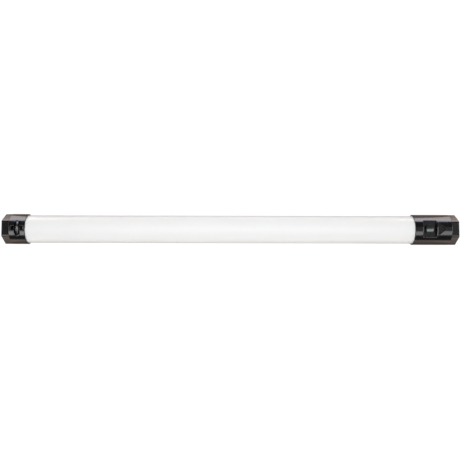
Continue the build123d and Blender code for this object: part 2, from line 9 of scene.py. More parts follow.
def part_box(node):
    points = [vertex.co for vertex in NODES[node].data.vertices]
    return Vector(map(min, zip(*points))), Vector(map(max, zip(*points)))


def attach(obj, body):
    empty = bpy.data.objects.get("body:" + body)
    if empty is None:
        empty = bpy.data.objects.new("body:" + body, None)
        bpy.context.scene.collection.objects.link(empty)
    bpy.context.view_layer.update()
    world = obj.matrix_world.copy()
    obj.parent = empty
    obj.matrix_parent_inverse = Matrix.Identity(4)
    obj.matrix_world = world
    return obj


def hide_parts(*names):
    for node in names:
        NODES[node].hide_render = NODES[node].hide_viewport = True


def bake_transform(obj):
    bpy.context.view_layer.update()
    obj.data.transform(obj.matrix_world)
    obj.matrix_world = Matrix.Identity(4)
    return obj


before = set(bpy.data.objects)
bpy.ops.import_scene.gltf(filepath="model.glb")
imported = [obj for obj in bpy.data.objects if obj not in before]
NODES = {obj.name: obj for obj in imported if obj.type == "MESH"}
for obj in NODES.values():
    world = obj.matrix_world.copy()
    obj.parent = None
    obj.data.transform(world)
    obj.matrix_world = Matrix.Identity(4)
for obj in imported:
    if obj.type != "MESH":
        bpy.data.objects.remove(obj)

bl_info = {
    "name": "Light Tube",
    "version": (1, 0, 0),
    "blender": (4, 5, 0),
    "location": "3D View > Sidebar > Light Tube",
    "description": "Finishes an LED light tube around its packed solids and sets up its studio",
    "category": "Add Mesh",
}

MM = 0.001
WELD = 1e-7                     # vertices closer than this, in metres, are one
SHARP_ANGLE = math.radians(32)
ROUND_STEPS = 96                # steps around a turned piece
THREAD_STEPS = 48               # steps in one turn of the thread
WHITE, COOL_WHITE, GREEN_WHITE = "#FFFFFF", "#EEF3FF", "#E6FFF8"
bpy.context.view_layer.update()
TUBE_LOW, TUBE_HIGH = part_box("diffuser_tube")
AXIS_Z = (TUBE_LOW.z + TUBE_HIGH.z) / 2
TUBE_RADIUS = (TUBE_HIGH.z - TUBE_LOW.z) / 2


# ---- colours ---------------------------------------------------------------------------------
def linear(hex_colour):
    """sRGB hex text as linear RGBA."""
    channels = [int(hex_colour[i:i + 2], 16) / 255 for i in (1, 3, 5)]
    bent = [c / 12.92 if c <= 0.04045 else ((c + 0.055) / 1.055) ** 2.4 for c in channels]
    return (*bent, 1.0)


def colour_property(label, hex_colour, description):
    return FloatVectorProperty(
        name=label, description=description, subtype="COLOR", size=4, min=0.0, max=1.0,
        default=linear(hex_colour),
    )


class LightTubeSizes(bpy.types.PropertyGroup):
    tube_wall: FloatProperty(
        name="Tube wall", description="Wall of the opal tube", default=2 * MM, unit="LENGTH"
    )
    tube_edge: FloatProperty(
        name="Tube edge", description="Rounding of the tube's cut ends",
        default=0.3 * MM, unit="LENGTH",
    )
    tube_facets: IntProperty(
        name="Tube facets", description="Steps around the opal tube", default=192, min=48
    )
    thread_pitch: FloatProperty(
        name="Thread pitch", description="Twenty threads to the inch",
        default=1.27 * MM, unit="LENGTH",
    )
    thread_major: FloatProperty(
        name="Thread radius", description="Quarter-inch thread, to its root in the insert",
        default=3.175 * MM, unit="LENGTH",
    )
    thread_minor: FloatProperty(
        name="Thread bore", description="Bore at the crests of the insert's thread",
        default=2.56 * MM, unit="LENGTH",
    )
    cover_dish: FloatProperty(
        name="Cover dish", description="Depth of the dish in the inlet cover",
        default=0.35 * MM, unit="LENGTH",
    )
    rubber_edge: FloatProperty(
        name="Rubber edge", description="Rounding of the moulded rubber's edges",
        default=0.3 * MM, unit="LENGTH",
    )


class LightTubeFinishes(bpy.types.PropertyGroup):
    opal: colour_property("Opal", "#F4F4F3", "Opal polycarbonate of the diffuser")
    cap_black: colour_property("Cap black", "#040404", "Polished black of the caps and end covers")
    button_black: colour_property("Button black", "#1A1D1D", "Dark grey of the power button")
    enamel_black: colour_property("Bar black", "#141415", "Baked enamel of the rope staple")
    rubber_black: colour_property("Rubber black", "#161617", "Silicone of the cover and seals")
    brass: colour_property("Brass", "#C9A45C", "Turned brass of the stand socket")
    mill_aluminium: colour_property("Aluminium", "#C7C9CB", "Extruded spine")


class LightTubeStudio(bpy.types.PropertyGroup):
    camera_distance: FloatProperty(
        name="Camera distance", description="From the tube's axis to the camera",
        default=0.953, unit="LENGTH",
    )
    camera_elevation: FloatProperty(
        name="Camera elevation", description="Angle of the camera above the floor",
        default=math.radians(86.0), subtype="ANGLE",
    )
    camera_roll: FloatProperty(
        name="Camera roll", description="Turn of the camera about its own view",
        default=math.radians(0.13), subtype="ANGLE",
    )
    camera_lens: FloatProperty(name="Lens", description="Focal length in millimetres", default=48.5)
    floor_colour: colour_property("Floor", "#FFE6DA", "Warm white paper that the lamp lies on")
    floor_glow: FloatProperty(
        name="Floor glow", description="How bright the paper is in gloss", default=0.85, min=0.0
    )
    floor_rise: FloatProperty(
        name="Floor rise", description="How much brighter the paper is in gloss behind the lamp",
        default=0.15, min=0.0,
    )
    room_light: FloatProperty(name="Room light", description="Light from all around", default=0.13)
    tail_softbox: FloatProperty(
        name="Tail softbox",
        description="Radiance of the softbox at the tail's end, camera side", default=4.2,
    )
    control_softbox: FloatProperty(
        name="Control softbox",
        description="Radiance of the softbox at the control end, camera side", default=3.2,
    )
    far_panel: FloatProperty(
        name="Far panel", description="Radiance of the low cool panel behind the lamp", default=6.2
    )
    side_fill: FloatProperty(
        name="Side fill", description="Radiance of the two fills past the lamp's ends", default=9.9
    )
    staple_softbox: FloatProperty(
        name="Staple softbox",
        description="Radiance of the softbox behind the rope staple", default=8.0,
    )
    button_softbox: FloatProperty(
        name="Button softbox",
        description="Radiance of the softbox above the power button", default=4.0,
    )
    tube_wash: FloatProperty(
        name="Tube wash", description="Radiance of the wide wash above the opal tube", default=3.10
    )
    top_fill: FloatProperty(
        name="Top fill", description="Radiance of the dim panel above the control end", default=0.30
    )


# ---- meshes ----------------------------------------------------------------------------------
def lathe(bm, outline, segments, closed=False):
    """Spins an outline of (x, radius) points about the X axis and closes its seam and poles."""
    rim = [bm.verts.new((x, 0.0, radius)) for x, radius in outline]
    pairs = list(zip(rim, rim[1:]))
    if closed:
        pairs.append((rim[-1], rim[0]))
    edges = [bm.edges.new(pair) for pair in pairs]
    bmesh.ops.spin(
        bm, geom=rim + edges, cent=(0, 0, 0), axis=(1, 0, 0), dvec=(0, 0, 0), angle=2 * math.pi,
        steps=segments, use_merge=True, use_normal_flip=False, use_duplicate=False,
    )
    bmesh.ops.remove_doubles(bm, verts=bm.verts[:], dist=WELD)
    bmesh.ops.dissolve_degenerate(bm, edges=bm.edges[:], dist=WELD)
    bmesh.ops.recalc_face_normals(bm, faces=bm.faces[:])


def round_edges(bm, radius, segments=3, angle=SHARP_ANGLE):
    """Bevels every edge whose faces meet at more than an angle."""
    sharp = [e for e in bm.edges if len(e.link_faces) == 2 and e.calc_face_angle() > angle]
    bmesh.ops.bevel(
        bm, geom=sharp, offset=radius, offset_type="OFFSET", segments=segments, profile=0.5,
        affect="EDGES", clamp_overlap=True, material=-1,
    )


def slab(low, high, radius):
    """Box between two corners with rounded edges, as a bmesh."""
    bm = bmesh.new()
    bmesh.ops.create_cube(bm, size=1.0)
    bmesh.ops.scale(bm, vec=high - low, verts=bm.verts[:])
    bmesh.ops.translate(bm, vec=(low + high) / 2, verts=bm.verts[:])
    round_edges(bm, radius)
    return bm


def merged(shells):
    """Several closed shells in one bmesh."""
    whole = bmesh.new()
    for shell in shells:
        mesh = bpy.data.meshes.new("shell")
        shell.to_mesh(mesh)
        shell.free()
        whole.from_mesh(mesh)
        bpy.data.meshes.remove(mesh)
    return whole


def finished(bm, name, material):
    """Makes the bmesh an object with smooth faces and sharp creases, in place in its mesh."""
    mesh = bpy.data.meshes.new(name)
    bm.to_mesh(mesh)
    bm.free()
    mesh.materials.append(material)
    mesh.shade_smooth()
    mesh.set_sharp_from_angle(angle=SHARP_ANGLE)
    piece = bpy.data.objects.new(name, mesh)
    bpy.context.scene.collection.objects.link(piece)
    return piece


# ---- materials -------------------------------------------------------------------------------
def add_node(tree, kind, values=None, links=None, **settings):
    """Adds a node: settings are its properties, values fill its inputs and links join them."""
    node = tree.nodes.new(kind)
    for name, value in settings.items():
        setattr(node, name, value)
    for socket, value in (values or {}).items():
        node.inputs[socket].default_value = value
    for socket, source in (links or {}).items():
        tree.links.new(source, node.inputs[socket])
    return node


def new_material(name, **shader_values):
    """A material with one Principled shader, and its tree and shader."""
    material = bpy.data.materials.new(name)
    material.use_nodes = True
    tree = material.node_tree
    tree.nodes.clear()
    shader = add_node(tree, "ShaderNodeBsdfPrincipled", values=shader_values)
    add_node(tree, "ShaderNodeOutputMaterial", links={"Surface": shader.outputs["BSDF"]})
    return material, tree, shader


def place(tree, cell=(1, 1, 1)):
    """Object coordinates, counted in cells of this size in metres along X, Y and Z."""
    coordinates = add_node(tree, "ShaderNodeTexCoord")
    return add_node(
        tree, "ShaderNodeMapping", values={"Scale": tuple(1 / length for length in cell)},
        links={"Vector": coordinates.outputs["Object"]},
    ).outputs["Vector"]


def noise(tree, vector, size=1.0, detail=3.0, roughness=0.5):
    """Grey noise in patches of this size, in metres or in the vector's own cells."""
    return add_node(
        tree, "ShaderNodeTexNoise",
        values={"Scale": 1 / size, "Detail": detail, "Roughness": roughness},
        links={"Vector": vector},
    ).outputs["Fac"]


def spread(tree, source, low, high, into=(0.3, 0.7)):
    """Maps a grey pattern from a range onto low to high."""
    return add_node(
        tree, "ShaderNodeMapRange",
        values={"From Min": into[0], "From Max": into[1], "To Min": low, "To Max": high},
        links={"Value": source},
    ).outputs["Result"]


def multiplied(tree, first, second):
    """Product of two grey patterns."""
    return add_node(
        tree, "ShaderNodeMath", operation="MULTIPLY", links={0: first, 1: second}
    ).outputs["Value"]


def bump(tree, shader, height, distance, strength=1.0):
    """Raises the surface by a grey pattern, up to a distance in metres."""
    node = add_node(
        tree, "ShaderNodeBump", values={"Strength": strength, "Distance": distance},
        links={"Height": height},
    )
    tree.links.new(node.outputs["Normal"], shader.inputs["Normal"])


def tint(tree, shader, factor, first, second):
    """Mixes two colours by a pattern into the base colour."""
    mix = add_node(
        tree, "ShaderNodeMix", data_type="RGBA", values={6: first, 7: second}, links={0: factor}
    )
    tree.links.new(mix.outputs[2], shader.inputs["Base Color"])


def shade(colour, factor):
    """A linear colour made lighter or darker."""
    return (*(min(1.0, c * factor) for c in colour[:3]), 1.0)


def opal_polycarbonate(finishes):
    """Opal polycarbonate, extruded: satin, with the die's faint lines along it and milky depth."""
    material, tree, shader = new_material(
        "opal_polycarbonate_extruded",
        **{"Roughness": 0.30, "IOR": 1.585, "Subsurface Weight": 0.12,
           "Subsurface Scale": 1.2 * MM},
    )
    shader.inputs["Subsurface Radius"].default_value = (1.0, 0.96, 0.92)
    # The die's lines are drawn 1.11 mm apart, coarser than real ones, so that they show.
    die_lines = noise(tree, place(tree, (667 * MM, 1.11 * MM, 1.11 * MM)), detail=2.0)
    cloud = noise(tree, place(tree), 45.5 * MM)
    tint(tree, shader, spread(tree, cloud, 0.0, 1.0), finishes.opal, shade(finishes.opal, 0.99))
    tree.links.new(spread(tree, cloud, 0.30, 0.34), shader.inputs["Roughness"])
    bump(tree, shader, die_lines, 0.02 * MM, 0.5)
    return material


def polished_abs(name, colour, gloss, ripple=0.004 * MM):
    """Black ABS from a polished mould: clear reflections, a faint ripple and handling haze."""
    material, tree, shader = new_material(name, **{"Roughness": gloss, "IOR": 1.55})
    haze = noise(tree, place(tree), 18.2 * MM, detail=5.0, roughness=0.62)
    ripple_height = noise(tree, place(tree), 2.38 * MM, detail=2.0)
    tint(tree, shader, spread(tree, haze, 0.0, 1.0), colour, shade(colour, 1.5))
    tree.links.new(spread(tree, haze, gloss, gloss + 0.06), shader.inputs["Roughness"])
    bump(tree, shader, ripple_height, ripple, 0.6)
    return material


def baked_enamel(finishes):
    """Black enamel baked on a steel bar: thick, glossy and a little uneven."""
    material, tree, shader = new_material(
        "black_enamel_baked",
        **{"Roughness": 0.26, "IOR": 1.5, "Coat Weight": 0.5, "Coat Roughness": 0.12},
    )
    uneven = noise(tree, place(tree), 1.67 * MM)
    black = finishes.enamel_black
    tint(tree, shader, spread(tree, uneven, 0.0, 1.0), black, shade(black, 1.8))
    bump(tree, shader, uneven, 0.02 * MM, 0.4)
    return material


def moulded_silicone(finishes):
    """Black silicone, moulded against a blasted tool: soft, matte and slightly dusty."""
    material, tree, shader = new_material(
        "black_silicone_moulded",
        **{"Roughness": 0.62, "IOR": 1.43, "Sheen Weight": 0.15, "Sheen Roughness": 0.5},
    )
    # The grain is drawn at 0.385 mm, coarser than the tool's, so that it shows.
    grain = noise(tree, place(tree), 0.385 * MM, detail=2.0)
    dust = noise(tree, place(tree), 5.56 * MM, detail=6.0, roughness=0.7)
    black = finishes.rubber_black
    tint(tree, shader, spread(tree, dust, 0.0, 1.0, (0.5, 0.8)), black, shade(black, 2.2))
    tree.links.new(spread(tree, grain, 0.55, 0.70), shader.inputs["Roughness"])
    bump(tree, shader, grain, 0.02 * MM, 0.5)
    return material


def turned_brass(finishes):
    """Brass, turned: fine rings from the tool run round the axis, with darker handled patches."""
    material, tree, shader = new_material(
        "brass_turned", **{"Metallic": 1.0, "Roughness": 0.25, "Anisotropic": 0.4}
    )
    centred = add_node(
        tree, "ShaderNodeMapping", values={"Location": (0, 0, -AXIS_Z)},
        links={"Vector": add_node(tree, "ShaderNodeTexCoord").outputs["Object"]},
    )
    # The tool's rings are drawn 0.25 mm apart, coarser than real ones, so that they show.
    ring_spacing = 0.25 * MM
    rings = add_node(
        tree, "ShaderNodeTexWave", wave_type="RINGS", rings_direction="X",
        values={"Scale": 1 / ring_spacing / 20, "Distortion": 0.6, "Detail": 2.0},
        links={"Vector": centred.outputs["Vector"]},
    ).outputs["Fac"]
    patches = noise(tree, place(tree), 6.25 * MM, detail=4.0)
    tint(tree, shader, spread(tree, patches, 0.0, 1.0), finishes.brass, shade(finishes.brass, 0.72))
    tree.links.new(spread(tree, patches, 0.20, 0.36), shader.inputs["Roughness"])
    bump(tree, shader, rings, 0.01 * MM, 0.5)
    return material


def black_oxide_steel():
    """Steel, black oxide: dark and oily, worn to bare metal in specks."""
    material, tree, shader = new_material(
        "steel_black_oxide", **{"Metallic": 1.0, "Roughness": 0.38}
    )
    wear = noise(tree, place(tree), 1.11 * MM, detail=6.0, roughness=0.7)
    specks = spread(tree, wear, 0.0, 1.0, (0.55, 0.75))
    tint(tree, shader, specks, linear("#2A2A2C"), linear("#6E6C69"))
    tree.links.new(spread(tree, wear, 0.34, 0.48), shader.inputs["Roughness"])
    bump(tree, shader, wear, 0.01 * MM, 0.5)
    return material


def bright_metal(name, colour, gloss, line=(250 * MM, 0.833 * MM, 0.833 * MM)):
    """Bare metal with fine lines along its length, as drawn, rolled or extruded."""
    material, tree, shader = new_material(name, **{"Metallic": 1.0, "Roughness": gloss})
    # The lines are drawn 0.833 mm apart, coarser than real ones, so that they show.
    lines = noise(tree, place(tree, line), detail=3.0)
    tint(tree, shader, spread(tree, lines, 0.0, 1.0), colour, shade(colour, 0.85))
    tree.links.new(spread(tree, lines, gloss, gloss + 0.15), shader.inputs["Roughness"])
    bump(tree, shader, lines, 0.005 * MM, 0.5)
    return material


def moulded_plastic(name, colour, gloss):
    """Plain moulded or laminated plastic with a fine grain."""
    material, tree, shader = new_material(name, **{"Roughness": gloss, "IOR": 1.5})
    # The grain is drawn at 0.667 mm, coarser than the real one, so that it shows.
    grit = noise(tree, place(tree), 0.667 * MM, detail=2.0)
    tint(tree, shader, spread(tree, grit, 0.0, 1.0), colour, shade(colour, 0.88))
    tree.links.new(spread(tree, grit, gloss - 0.06, gloss + 0.08), shader.inputs["Roughness"])
    bump(tree, shader, grit, 0.01 * MM, 0.4)
    return material


def solder_mask(name, colour, track_colour):
    """Fibreglass board under solder mask: glossy lacquer over faint copper tracks."""
    material, tree, shader = new_material(
        name, **{"Roughness": 0.32, "IOR": 1.5, "Coat Weight": 0.4, "Coat Roughness": 0.2}
    )
    track, pad_length, pad_width = 0.16 * MM, 4.3 * MM, 1.3 * MM
    tracks = add_node(
        tree, "ShaderNodeTexBrick", offset=0.37, squash=0.6, squash_frequency=3,
        values={"Scale": 1.0, "Mortar Size": track, "Brick Width": pad_length,
                "Row Height": pad_width, "Color1": colour, "Color2": shade(colour, 0.93),
                "Mortar": track_colour},
        links={"Vector": place(tree)},
    )
    tree.links.new(tracks.outputs["Color"], shader.inputs["Base Color"])
    bump(tree, shader, tracks.outputs["Fac"], 0.03 * MM, 0.5)
    return material


def light_package():
    """White moulded cup with yellow phosphor gel in its dish."""
    material, tree, shader = new_material(
        "led_package_phosphor", **{"Roughness": 0.35, "IOR": 1.46}
    )
    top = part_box("led_packages")[1].z
    height = add_node(
        tree, "ShaderNodeSeparateXYZ",
        links={"Vector": add_node(tree, "ShaderNodeTexCoord").outputs["Object"]},
    ).outputs["Z"]
    in_dish = spread(tree, height, 1.0, 0.0, (top - 0.45 * MM, top - 0.30 * MM))
    tint(tree, shader, in_dish, linear("#F1F0EA"), linear("#E8C24A"))
    bump(tree, shader, noise(tree, place(tree), 0.714 * MM), 0.01 * MM, 0.4)
    return material


def shrink_sleeve(colour):
    """Shrunk PVC sleeve round each cell, with fine wrinkles."""
    material, tree, shader = new_material("cell_sleeve_shrunk", **{"Roughness": 0.3, "IOR": 1.53})
    wrinkles = noise(tree, place(tree, (3.33 * MM, 16.7 * MM, 16.7 * MM)), detail=4.0)
    tint(tree, shader, spread(tree, wrinkles, 0.0, 1.0), colour, shade(colour, 0.8))
    bump(tree, shader, wrinkles, 0.05 * MM, 0.5)
    return material


def foam(colour):
    """Closed-cell foam, die cut: matte, with open bubbles on the cut."""
    material, tree, shader = new_material("foam_closed_cell", **{"Roughness": 0.9})
    bubble = 0.556 * MM
    cells = add_node(
        tree, "ShaderNodeTexVoronoi", values={"Scale": 1 / bubble}, links={"Vector": place(tree)}
    ).outputs["Distance"]
    # painted shade: each bubble is darker towards its centre, down in its hollow
    tint(tree, shader, cells, shade(colour, 0.6), colour)
    bump(tree, shader, cells, 0.1 * MM, 0.7)
    return material


# ---- operators -------------------------------------------------------------------------------
def finish_nodes(material, *names):
    """Gives carried-over solids their finish."""
    for name in names:
        NODES[name].material_slots[0].material = material


class LIGHTTUBE_OT_diffuser(bpy.types.Operator):
    """Build the opal tube between the caps"""

    bl_idname = "light_tube.diffuser"
    bl_label = "Diffuser"

    def execute(self, context):
        sizes = context.scene.light_tube_sizes
        inner = TUBE_RADIUS - sizes.tube_wall
        outline = [
            (TUBE_LOW.x, TUBE_RADIUS), (TUBE_HIGH.x, TUBE_RADIUS),
            (TUBE_HIGH.x, inner), (TUBE_LOW.x, inner),
        ]
        bm = bmesh.new()
        lathe(bm, outline, sizes.tube_facets, closed=True)
        round_edges(bm, sizes.tube_edge, segments=2, angle=math.radians(60))
        bmesh.ops.translate(bm, vec=(0, 0, AXIS_Z), verts=bm.verts[:])
        tube = finished(bm, "opal_diffuser", opal_polycarbonate(context.scene.light_tube_finishes))
        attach(tube, "root")
        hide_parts("diffuser_tube")
        return {"FINISHED"}


def cut_thread(bm, sizes, start, end):
    """Internal V thread between two stations, as a helix cut off square at both."""
    pitch = sizes.thread_pitch
    spare_turns = 3             # past both stations, cut off below
    turns = math.ceil((end - start) / pitch) + spare_turns
    crest = bm.verts.new((start - pitch * 1.5, 0, sizes.thread_minor))
    root = bm.verts.new((start - pitch, 0, sizes.thread_major))
    next_crest = bm.verts.new((start - pitch * 0.5, 0, sizes.thread_minor))
    edges = [bm.edges.new((crest, root)), bm.edges.new((root, next_crest))]
    bmesh.ops.spin(
        bm, geom=[crest, root, next_crest] + edges, cent=(0, 0, 0), axis=(1, 0, 0),
        dvec=(pitch / THREAD_STEPS, 0, 0), angle=2 * math.pi * turns, steps=THREAD_STEPS * turns,
        use_merge=False, use_normal_flip=False, use_duplicate=False,
    )
    bmesh.ops.remove_doubles(bm, verts=bm.verts[:], dist=WELD * 10)
    for station, outward in ((start, -1), (end, 1)):
        bmesh.ops.bisect_plane(
            bm, geom=bm.verts[:] + bm.edges[:] + bm.faces[:], dist=WELD, plane_co=(station, 0, 0),
            plane_no=(outward, 0, 0), clear_outer=True,
        )


def ring_at(bm, x, radius, segments):
    """Circle of edges about the X axis."""
    made = bmesh.ops.create_circle(
        bm, cap_ends=False, radius=radius, segments=segments,
        matrix=Matrix.Translation((x, 0, 0)) @ Matrix.Rotation(math.pi / 2, 4, "Y"),
    )["verts"]
    return list(dict.fromkeys(e for v in made for e in v.link_edges))


def open_loop_near(bm, x):
    """Boundary edges that lie at a station."""
    return [e for e in bm.edges if e.is_boundary and all(abs(v.co.x - x) < 1e-6 for v in e.verts)]


class LIGHTTUBE_OT_stand_socket(bpy.types.Operator):
    """Build the threaded brass socket in the tail end face"""

    bl_idname = "light_tube.stand_socket"
    bl_label = "Stand socket"

    def execute(self, context):
        sizes = context.scene.light_tube_sizes
        low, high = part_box("stand_insert")
        thread_start, thread_end = low.x + 0.6 * MM, low.x + 11.4 * MM
        bm = bmesh.new()
        cut_thread(bm, sizes, thread_start, thread_end)
        mouth_radius = sizes.thread_major + 0.6 * MM
        mouth = ring_at(bm, low.x, mouth_radius, ROUND_STEPS)
        bmesh.ops.bridge_loops(bm, edges=open_loop_near(bm, thread_start) + mouth)
        bmesh.ops.holes_fill(bm, edges=open_loop_near(bm, thread_end), sides=0)
        shell = bmesh.new()
        seat = (high.z - low.z) / 2
        barrel, groove, chamfer = seat - 0.05 * MM, seat - 0.6 * MM, seat - 0.5 * MM
        lathe(shell, [
            (low.x, mouth_radius), (low.x, chamfer), (low.x + 0.35 * MM, barrel),
            (low.x + 3.0 * MM, barrel), (low.x + 3.2 * MM, groove),
            (low.x + 4.8 * MM, groove), (low.x + 5.0 * MM, barrel),
            (high.x - 0.4 * MM, barrel), (high.x, chamfer), (high.x, 0.0),
        ], ROUND_STEPS)
        socket = merged([bm, shell])
        bmesh.ops.remove_doubles(socket, verts=socket.verts[:], dist=WELD * 10)
        bmesh.ops.recalc_face_normals(socket, faces=socket.faces[:])
        bmesh.ops.translate(socket, vec=(0, 0, AXIS_Z), verts=socket.verts[:])
        piece = finished(socket, "stand_socket", turned_brass(context.scene.light_tube_finishes))
        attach(piece, "root")
        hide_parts("stand_insert")
        return {"FINISHED"}


class LIGHTTUBE_OT_inlet_cover(bpy.types.Operator):
    """Build the rubber inlet cover, its fixed strap and the thin web between them"""

    bl_idname = "light_tube.inlet_cover"
    bl_label = "Inlet cover"

    def execute(self, context):
        sizes = context.scene.light_tube_sizes
        rubber = moulded_silicone(context.scene.light_tube_finishes)
        low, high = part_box("inlet_cover")
        strap_low, strap_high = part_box("inlet_cover_anchor")
        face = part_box("control_end_cover")[1].x
        self.moulding(sizes, rubber, low, high, face, strap_high.y)
        self.strap(sizes, rubber, strap_low, strap_high, face, high.x)
        self.web(rubber, (high.z + strap_low.z) / 2, strap_high.y, high.x)
        return {"FINISHED"}

    def moulding(self, sizes, rubber, low, high, face, tab_half):
        """Dished disc with a plug behind it, a hinge tab above and a ribbed pull below."""
        crown, radius = high.x, high.y
        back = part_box("inlet_socket")[1].x + 0.05 * MM
        dish, plug = crown - sizes.cover_dish, 2.4 * MM
        disc = bmesh.new()
        lathe(disc, [
            (low.x, 0.0), (low.x, plug - 0.2 * MM), (low.x + 0.2 * MM, plug), (back, plug),
            (back, radius), (face + 0.3 * MM, radius), (crown - 0.4 * MM, radius - 0.25 * MM),
            (crown - 0.1 * MM, radius - 0.6 * MM), (crown, radius - 1.1 * MM),
            (crown, radius - 2.0 * MM), (dish, radius - 2.6 * MM), (dish, 0.0),
        ], ROUND_STEPS)
        bmesh.ops.translate(disc, vec=(0, 0, AXIS_Z), verts=disc.verts[:])
        overlap = 2.4 * MM
        tab = slab(
            Vector((face + 0.1 * MM, -tab_half, AXIS_Z + radius - overlap)),
            Vector((crown - 0.15 * MM, tab_half, high.z)), sizes.rubber_edge,
        )
        pull_half = 2.5 * MM
        pull = slab(
            Vector((face + 0.1 * MM, -pull_half, low.z)),
            Vector((crown - 0.2 * MM, pull_half, AXIS_Z - radius + overlap)), sizes.rubber_edge,
        )
        rib_half = pull_half - 0.5 * MM
        ribs = [
            slab(
                Vector((crown - 0.4 * MM, -rib_half, low.z + above * MM)),
                Vector((crown - 0.02 * MM, rib_half, low.z + (above + 0.4) * MM)), 0.12 * MM,
            )
            for above in (0.35, 1.05, 1.75)
        ]
        cover = finished(merged([disc, tab, pull, *ribs]), "inlet_cover_moulding", rubber)
        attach(cover, "cover")
        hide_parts("inlet_cover")

    def strap(self, sizes, rubber, low, high, face, crown):
        """Fixed foot of the strap, with the barbed peg that holds it in the end cover."""
        plate = slab(
            Vector((face, -high.y, low.z)), Vector((crown, high.y, high.z)), sizes.rubber_edge
        )
        stem, barb, barb_back = 1.18 * MM, 1.9 * MM, low.x + 1.2 * MM
        peg = bmesh.new()
        lathe(peg, [
            (low.x, 0.0), (low.x, 1.2 * MM), (barb_back, barb), (barb_back, stem),
            (face + 0.3 * MM, stem), (face + 0.3 * MM, 0.0),
        ], 32)
        bmesh.ops.translate(peg, vec=(0, 0, low.z + 2.45 * MM), verts=peg.verts[:])
        strap = finished(merged([plate, peg]), "inlet_cover_strap", rubber)
        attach(strap, "root")
        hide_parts("inlet_cover_anchor")

    def web(self, rubber, hinge, tab_half, crown):
        """Thin flat sheet from the strap to the disc's tab."""
        reach, half = 0.8 * MM, tab_half - 0.4 * MM
        bm = bmesh.new()
        bmesh.ops.create_grid(bm, x_segments=2, y_segments=12, size=1.0)
        for turned in ("Y", "X"):
            bmesh.ops.rotate(bm, verts=bm.verts[:], matrix=Matrix.Rotation(math.pi / 2, 3, turned))
        bmesh.ops.scale(bm, vec=(1.0, half, reach), verts=bm.verts[:])
        bmesh.ops.translate(bm, vec=(crown - 0.40 * MM, 0, hinge), verts=bm.verts[:])
        bmesh.ops.solidify(bm, geom=bm.faces[:], thickness=0.3 * MM)
        bmesh.ops.recalc_face_normals(bm, faces=bm.faces[:])
        web = finished(bm, "inlet_cover_web", rubber)
        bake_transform(web)


class LIGHTTUBE_OT_caps(bpy.types.Operator):
    """Finish both caps, their end covers and the inlet in the control end"""

    bl_idname = "light_tube.caps"
    bl_label = "Caps"

    def execute(self, context):
        black, gloss = context.scene.light_tube_finishes.cap_black, 0.14
        finish_nodes(polished_abs("abs_black_polished", black, gloss), "tail_cap", "control_cap")
        finish_nodes(
            polished_abs("abs_black_polished_cover", black, gloss),
            "tail_end_cover", "control_end_cover",
        )
        nylon = moulded_plastic("nylon_black_moulded", linear("#101011"), 0.45)
        finish_nodes(nylon, "inlet_socket")
        across = (0.833 * MM, 250 * MM, 0.833 * MM)
        pin = bright_metal("brass_plated_pin", linear("#D8C48A"), 0.22, across)
        finish_nodes(pin, "inlet_contact")
        return {"FINISHED"}


class LIGHTTUBE_OT_button(bpy.types.Operator):
    """Finish the power button and the switch below it"""

    bl_idname = "light_tube.button"
    bl_label = "Power button"

    def execute(self, context):
        black = context.scene.light_tube_finishes.button_black
        satin = polished_abs("abs_grey_satin_button", black, 0.17, ripple=0.008 * MM)
        finish_nodes(satin, "power_button")
        acetal = moulded_plastic("acetal_white_moulded", linear("#E4E3DE"), 0.4)
        finish_nodes(acetal, "switch_plunger")
        housing = moulded_plastic("switch_black_moulded", linear("#1B1B1C"), 0.5)
        finish_nodes(housing, "tact_switch")
        return {"FINISHED"}


class LIGHTTUBE_OT_staple(bpy.types.Operator):
    """Finish the rope staple in the tail cap"""

    bl_idname = "light_tube.staple"
    bl_label = "Rope staple"

    def execute(self, context):
        finish_nodes(baked_enamel(context.scene.light_tube_finishes), "rope_staple")
        return {"FINISHED"}


class LIGHTTUBE_OT_fasteners(bpy.types.Operator):
    """Finish the cover, spine and board screws"""

    bl_idname = "light_tube.fasteners"
    bl_label = "Fasteners"

    def execute(self, context):
        finish_nodes(
            black_oxide_steel(), "tail_cover_screws", "control_cover_screws", "tail_spine_screws",
            "control_spine_screws", "board_screws",
        )
        return {"FINISHED"}


class LIGHTTUBE_OT_inside(bpy.types.Operator):
    """Finish what the tube holds: spine, light board, cells, control board, seals and wires"""

    bl_idname = "light_tube.inside"
    bl_label = "Inside"

    def execute(self, context):
        finishes = context.scene.light_tube_finishes
        for material, *nodes in (
            (bright_metal("aluminium_extruded", finishes.mill_aluminium, 0.32), "spine_extrusion"),
            (moulded_plastic("adhesive_tape", linear("#D9D8D2"), 0.6), "led_tape"),
            (solder_mask("board_white_mask", linear("#EDEDEA"), linear("#D9D4C6")), "led_board"),
            (solder_mask("board_green_mask", linear("#11492B"), linear("#2B7A4B")),
             "control_board"),
            (light_package(), "led_packages"),
            (shrink_sleeve(linear("#2F6FA3")), "battery_cells"),
            (bright_metal("nickel_strip_rolled", linear("#C9C6BD"), 0.28), "battery_tabs"),
            (foam(linear("#2B2B2C")), "battery_end_plugs"),
            (moulded_plastic("resin_black_moulded", linear("#161617"), 0.55),
             "processor_chip", "power_inductors"),
            (bright_metal("tinned_shield_rolled", linear("#C4C4C2"), 0.3), "radio_module"),
            (moulded_silicone(finishes), "tail_o_rings", "control_o_rings", "button_gasket"),
            (moulded_plastic("silicone_red_extruded", linear("#A3201C"), 0.5),
             "battery_lead_positive", "led_leads"),
            (moulded_plastic("silicone_black_extruded", linear("#191919"), 0.5),
             "battery_lead_negative", "inlet_leads"),
        ):
            finish_nodes(material, *nodes)
        return {"FINISHED"}


